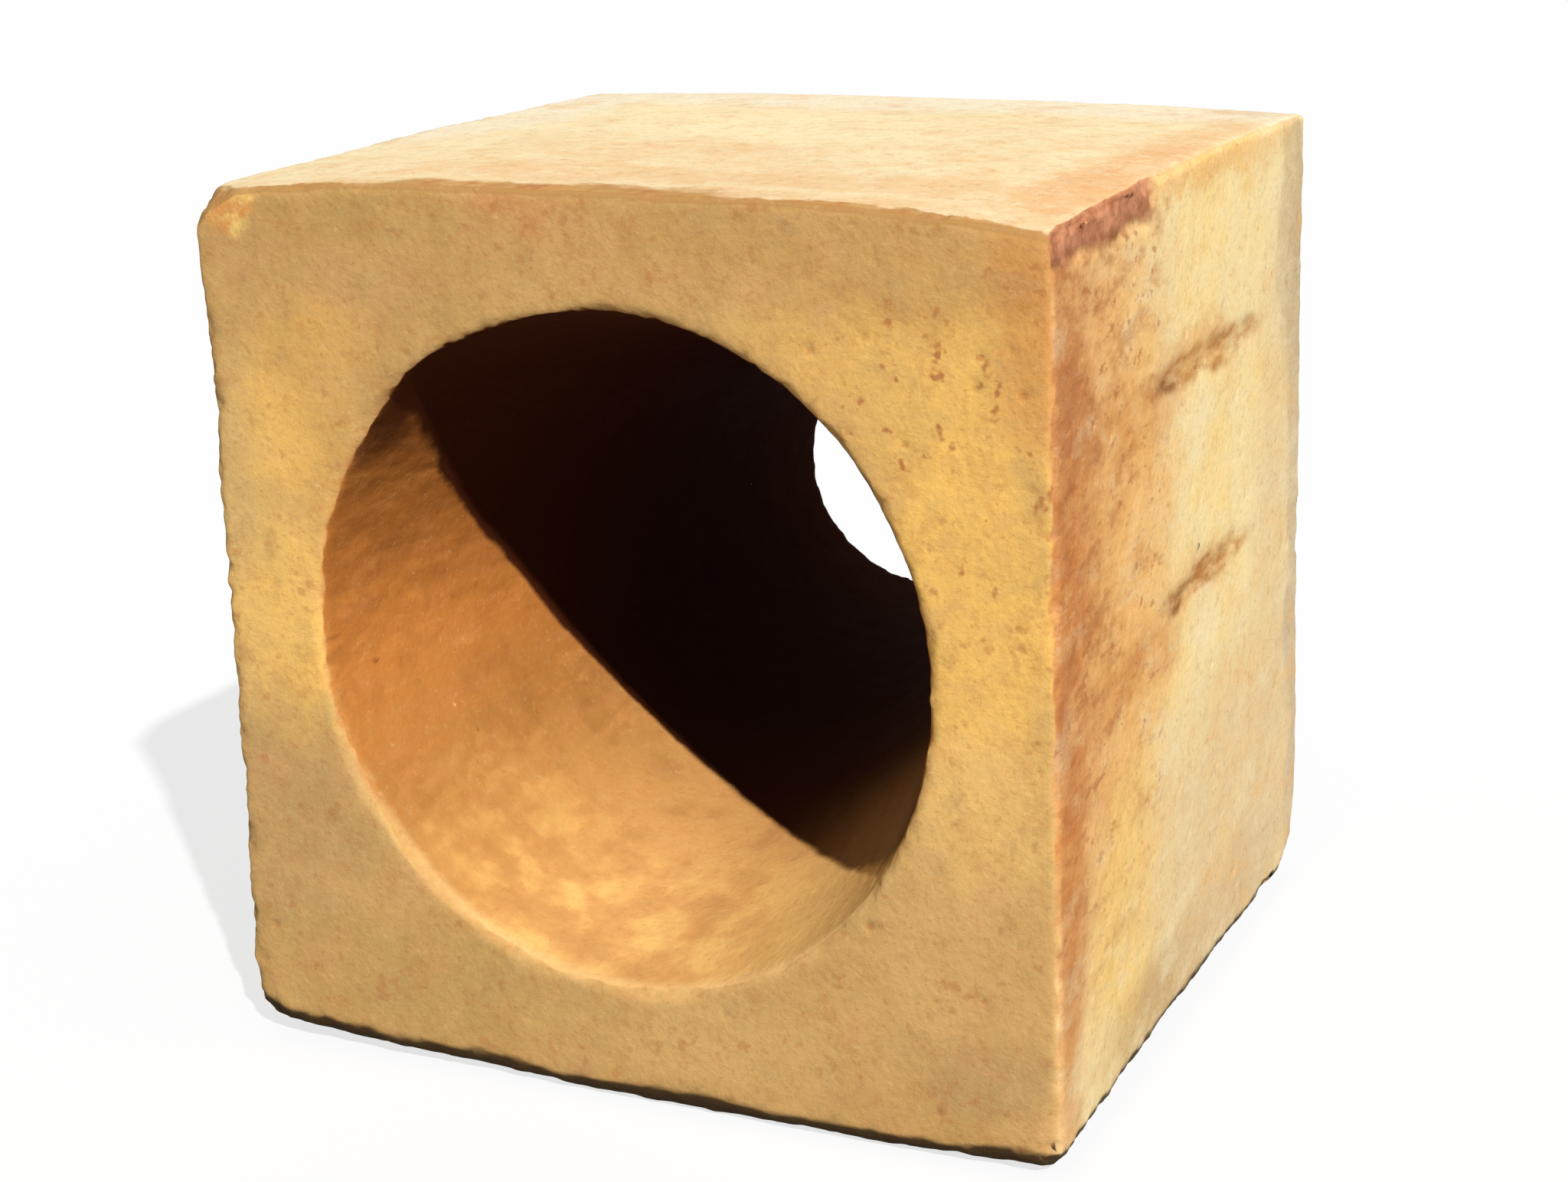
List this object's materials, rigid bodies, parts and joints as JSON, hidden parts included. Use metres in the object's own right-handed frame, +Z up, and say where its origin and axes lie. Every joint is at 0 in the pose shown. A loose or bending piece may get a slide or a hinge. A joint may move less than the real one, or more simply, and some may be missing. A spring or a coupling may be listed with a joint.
{
  "type": "insulating fire brick burner block",
  "caption": "Near-cube fired refractory block with a round bore that tapers from a wide mouth in the front face to a smaller opening in the back face.",
  "frame": {"origin": "middle of the rectangle that bounds the block, at the level of its base", "axes": "+Z up; +Y from the front face with the wide mouth to the back face, along the bore; +X to the right as seen from the front"},
  "size_m": [0.23, 0.22, 0.23],
  "materials": {
    "fired_clay": "matt fired clay, ochre to cream, with flashed and scuffed patches"
  },
  "bodies": {
    "root": {"fire_brick": "fired_clay"}
  },
  "joints": []
}
